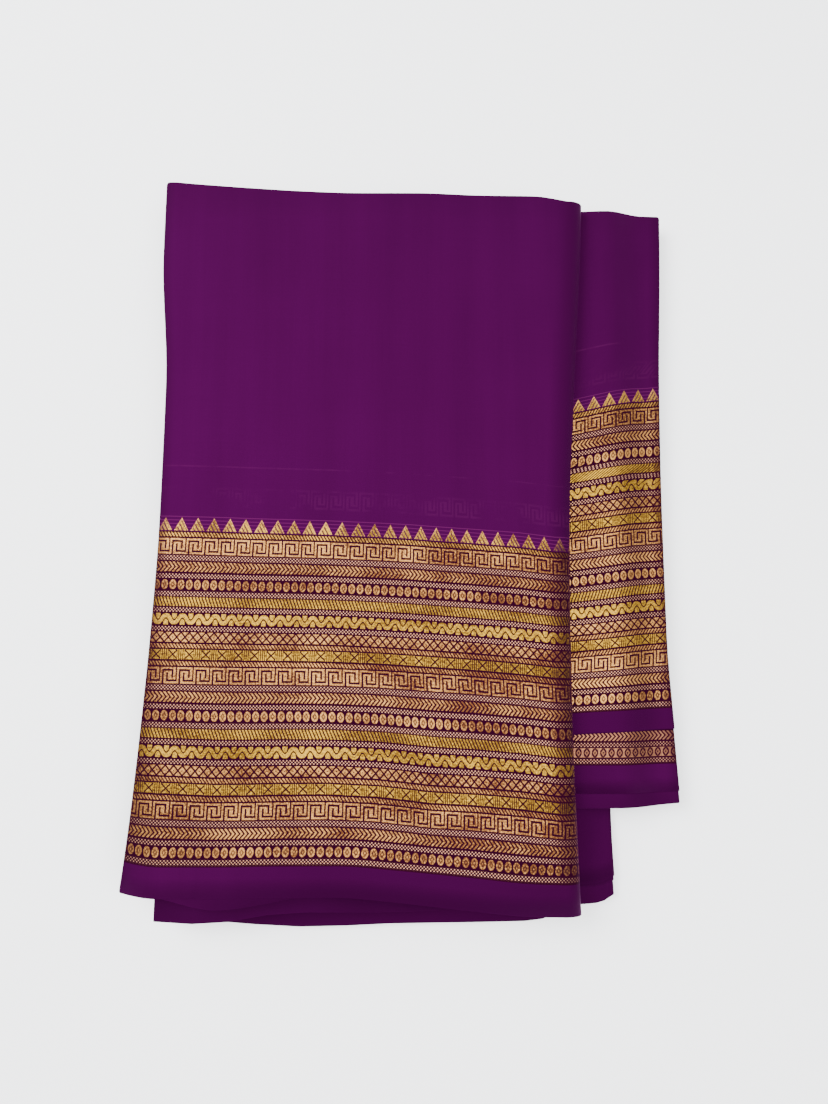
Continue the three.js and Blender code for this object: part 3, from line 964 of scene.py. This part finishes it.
def border(along, far):
    """The gold of the border, its rows, its whole field, its yellow and its pale rows, and thin lines."""
    down = FIRST - far
    group = down % GROUP
    gold, cover, yellow, pale = 0, 0, 0, 0
    for row in ROWS:
        height = row["to"] - row["from"]
        band = inside(group, row["from"], row["to"], 0.12)
        gold = row["motif"](along, group - row["from"], height) * band + gold
        cover = band + cover
        if row["tone"] > 0:
            yellow = band + yellow
        if row["tone"] < 0:
            pale = band + pale
    within = inside(down, -0.3, FIRST - BORDER_END, 0.1)
    gold, cover = gold * within, cover * within

    above = down * -1
    strip = inside(above, EDGE_STRIP["from"], EDGE_STRIP["to"], 0.12)
    yellow = yellow * within + strip * 0.5
    gold = twill(along, above * -1, EDGE_STRIP["to"] - EDGE_STRIP["from"]) * strip + gold
    cover = cover + strip
    x = (along - TEETH["apex"] + 0.5).fraction() - 0.5
    up = (above - TEETH["base"]) * (1 / (TEETH["tip"] - TEETH["base"]))
    tooth = (TEETH["wide"] / 2) * (1 - up) - abs(x)
    hatch = inside((along * TEETH["hatches"] + above * TEETH["slant"]).fraction(), 0.0, 0.45, 0.2)
    rim = 1 - (tooth - TEETH["rim"]).clear(0.04)
    shown = tooth.clear(0.03) * (above - TEETH["base"]).clear(0.1)
    gold = gold + shown * (1 - hatch * (1 - rim) * 0.9)
    yellow = yellow + shown * (1 - rim)
    lines = (((above - THIN["first"]) * (2 * math.pi / THIN["pitch"])).cosine() - 0.8).clear(0.35)
    lines = lines * inside(above, THIN["from"], THIN["to"], 0.3) * (1 - shown)
    field = inside(far, BORDER_END - 0.5, FIRST + EDGE_STRIP["to"] + 0.5, 0.2)
    return gold.at_most(1), cover.at_most(1), field, yellow.at_most(1), pale * within, lines


def silk_colour(f, along, far, painted_fold_shade):
    """Long soft streaks both ways and a broad slow change of tone; darker by the selvedge, partly its own
    deeper colour and partly painted shade, with painted shade on the plain flap and in folds.
    """
    weft = f.noise(f.vector(along * 0.03, far * 1.6), 1.0, 3.0)
    warp = f.noise(f.vector(along * 1.3, far * 0.02), 1.0, 3.0)
    bands = f.noise(f.vector(along * 0.07, far * 0.004, 9.0), 1.0, 2.0)
    broad = f.noise(f.vector(along * 0.02, far * 0.02, 3.0), 1.0, 2.0)
    shade = weft * 0.25 + warp * 0.25 + bands * 0.8 + broad * 0.5 - 0.4
    silk = f.mix(SILK_DARK, SILK_LIGHT, shade)
    # painted light: the strip by the selvedge keeps the lighter silk in these stretches
    top_left, low_left = PAINTED_LIGHT_ON_STRIPS["top"], PAINTED_LIGHT_ON_STRIPS["low"]
    painted_light = (top_left["reach"] - abs(along)).clear(top_left["soft"])
    painted_light = painted_light.at_least(inside(along, low_left["from"], low_left["to"], low_left["soft"]))
    # The strip by the selvedge is darker, partly its own deeper colour and partly painted shade where it
    # slopes away; the plain flap, lying low under the others, is darkened whole as painted shade; painted
    # light takes the darkening off the strip in two stretches
    strip = (BORDER_END - far).at_least(far - 2 * TIPS).clear(2.0) * (1 - painted_light)
    # painted shade near folds as well
    return f.mix(silk, SILK_DEEP_AND_SHADED, strip.at_least(painted_fold_shade))


def showing_through(along, far, patch):
    """How strongly the border of the ply below shows through, which it does in places."""
    key_top, key_low = GHOST["key_top"], GHOST["key_top"] - GHOST["key_height"]
    marks = greek(along * (1 / UNIT) + GHOST["shift"], key_top - far, GHOST["key_height"])
    marks = marks * inside(far, key_low, key_top, 0.8)
    marks = marks * 0.6 + inside(far, GHOST["line"], GHOST["line"] + GHOST["line_wide"], 0.4)
    return (patch - 0.54).clear(0.16) * marks


def brightness(f, along, far, patch):
    """How bright the gold is: in random patches, with painted glints from thread to thread, and with
    painted light along the stretches named above.
    """
    glint = f.noise(f.vector(along * 1.1, far * 1.0, 1.0), 1.0, 2.0, 0.7)
    left, band, right = GOLD_LIT["left"], GOLD_LIT["band"], GOLD_LIT["right"]
    lit = (left["reach"] - abs(along - left["middle"])).clear(left["soft"]) * left["by"]
    lit = lit + inside(along, band["from"], band["to"], band["soft"]) * band["by"]
    lit = lit + (along - right["from"]).clear(right["soft"]) * right["by"]
    return ((patch - 0.5) * 2.2 + (glint - 0.5) * 3.0 + lit + 0.18).held()


def silk_finish():
    """Purple crepe silk, with the border woven in thread wrapped in gold."""
    f = Finish("purple_silk")
    uv = f.node("ShaderNodeUVMap", {"uv_map": "Cloth"}).outputs[0]
    split = f.node("ShaderNodeSeparateXYZ", None, {0: uv})
    along = Value(f, split.outputs[0]) * (1 / MM)
    far = Value(f, split.outputs[1]) * (1 / MM)
    wrong = f.value("ShaderNodeAttribute", {"attribute_name": "wrong_side"}, None, output=2)
    # painted shade near the folds across the length, darkening the silk and dulling the gold
    painted_fold_shade = f.value("ShaderNodeAttribute", {"attribute_name": "shade_near_fold"}, None, output=2)

    gold, cover, field, yellow, pale, lines = border(along * (1 / UNIT), far)
    gold = gold + (cover - gold * 2) * (1 - pale) * wrong
    # painted shade: less gold shows near folds
    gold = gold * (1 - painted_fold_shade * 0.6)

    patch = f.noise(f.vector(along * 0.035, far * 0.05, 7.0), 1.0, 4.0, 0.6)
    silk = silk_colour(f, along, far, painted_fold_shade)
    marks = showing_through(along, far, patch)
    silk = f.mix(silk, THIN_PINK, (lines + marks * 0.3).at_most(1) * 0.4)
    ground = f.mix(silk, MAROON, field * 0.9)

    # random patches, with painted glints and painted light
    patches_and_highlights = brightness(f, along, far, patch)
    rosy = f.mix(ROSY_DULL, ROSY_BRIGHT, patches_and_highlights)
    bright = f.mix(YELLOW_DULL, YELLOW_BRIGHT, patches_and_highlights)
    thread = f.mix(rosy, bright, yellow)
    thread = f.mix(thread, PALE_DOT, pale * 0.85)
    thread = f.mix(thread, BACK_GOLD, wrong * 0.6)

    warp, weft = 2 * math.pi / THREADS["warp"], 2 * math.pi / THREADS["weft"]
    fine = (along * warp).cosine() * (far * weft).cosine()
    crepe = f.noise(f.vector(along * 2.2, far * 2.6, 5.0), 1.0, 2.0)
    height = fine * 0.3 + crepe
    bump = f.node("ShaderNodeBump", None, {"Strength": 0.2, "Distance": 0.00012, "Height": height})
    shader = f.node(
        "ShaderNodeBsdfPrincipled",
        None,
        {
            "Base Color": f.mix(ground, thread, gold),
            "Roughness": 0.56 - gold * 0.2,
            "Metallic": 0.25 + gold * 0.35,
            "Specular IOR Level": 0.02,
            "Specular Tint": (*SHEEN, 1),
            "Sheen Weight": 0.06,
            "Sheen Tint": (*SHEEN, 1),
            "Normal": bump.outputs[0],
        },
    )
    f.node("ShaderNodeOutputMaterial", None, {0: shader.outputs[0]})
    return f.material


mesh = weave_sheet()
sari = bpy.data.objects.new("sari_cloth", mesh)
bpy.context.scene.collection.objects.link(sari)

silk = silk_finish()
mesh.materials.append(silk)

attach(sari, "root")
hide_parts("sari")

# Floor, light and camera
FLOOR_GAP = 0.0004
CAMERA = {"place": (0.00381, -0.05519, 0.42798), "tilt": 7, "lens": 26.087}

floor_mesh = bpy.data.meshes.new("floor")
bm = bmesh.new()
bmesh.ops.create_grid(bm, x_segments=1, y_segments=1, size=3.0)
bm.to_mesh(floor_mesh)
bm.free()
floor = bpy.data.objects.new("floor", floor_mesh)
floor.location.z = -FLOOR_GAP
bpy.context.scene.collection.objects.link(floor)
paper = bpy.data.materials.new("pale_floor")
paper.use_nodes = True
paper.node_tree.nodes["Principled BSDF"].inputs["Base Color"].default_value = (0.82, 0.83, 0.85, 1)
paper.node_tree.nodes["Principled BSDF"].inputs["Roughness"].default_value = 0.9
floor_mesh.materials.append(paper)

world = bpy.data.worlds.new("studio")
bpy.context.scene.world = world
world.use_nodes = True
world.node_tree.nodes["Background"].inputs["Color"].default_value = (1, 1, 1, 1)
world.node_tree.nodes["Background"].inputs["Strength"].default_value = 0.95


def add_light(name, place, aim, size, power):
    """A soft square lamp that points at a place."""
    data = bpy.data.lights.new(name, "AREA")
    data.shape = "SQUARE"
    data.size = size
    data.energy = power
    lamp = bpy.data.objects.new(name, data)
    lamp.location = place
    lamp.rotation_euler = (Vector(aim) - Vector(place)).to_track_quat("-Z", "Y").to_euler()
    bpy.context.scene.collection.objects.link(lamp)


add_light("window", place=(-0.9, 0.5, 1.2), aim=(0, 0, 0), size=0.9, power=60)
add_light("ceiling", place=(0.3, -0.2, 1.6), aim=(0, 0, 0), size=1.6, power=82)

camera_data = bpy.data.cameras.new("camera")
camera_data.sensor_fit = "VERTICAL"
camera_data.sensor_height = 36
camera_data.lens = CAMERA["lens"]
camera_data.clip_start = 0.01
camera = bpy.data.objects.new("camera", camera_data)
camera.location = CAMERA["place"]
camera.rotation_euler = (math.radians(CAMERA["tilt"]), 0, 0)
bpy.context.scene.collection.objects.link(camera)
bpy.context.scene.camera = camera
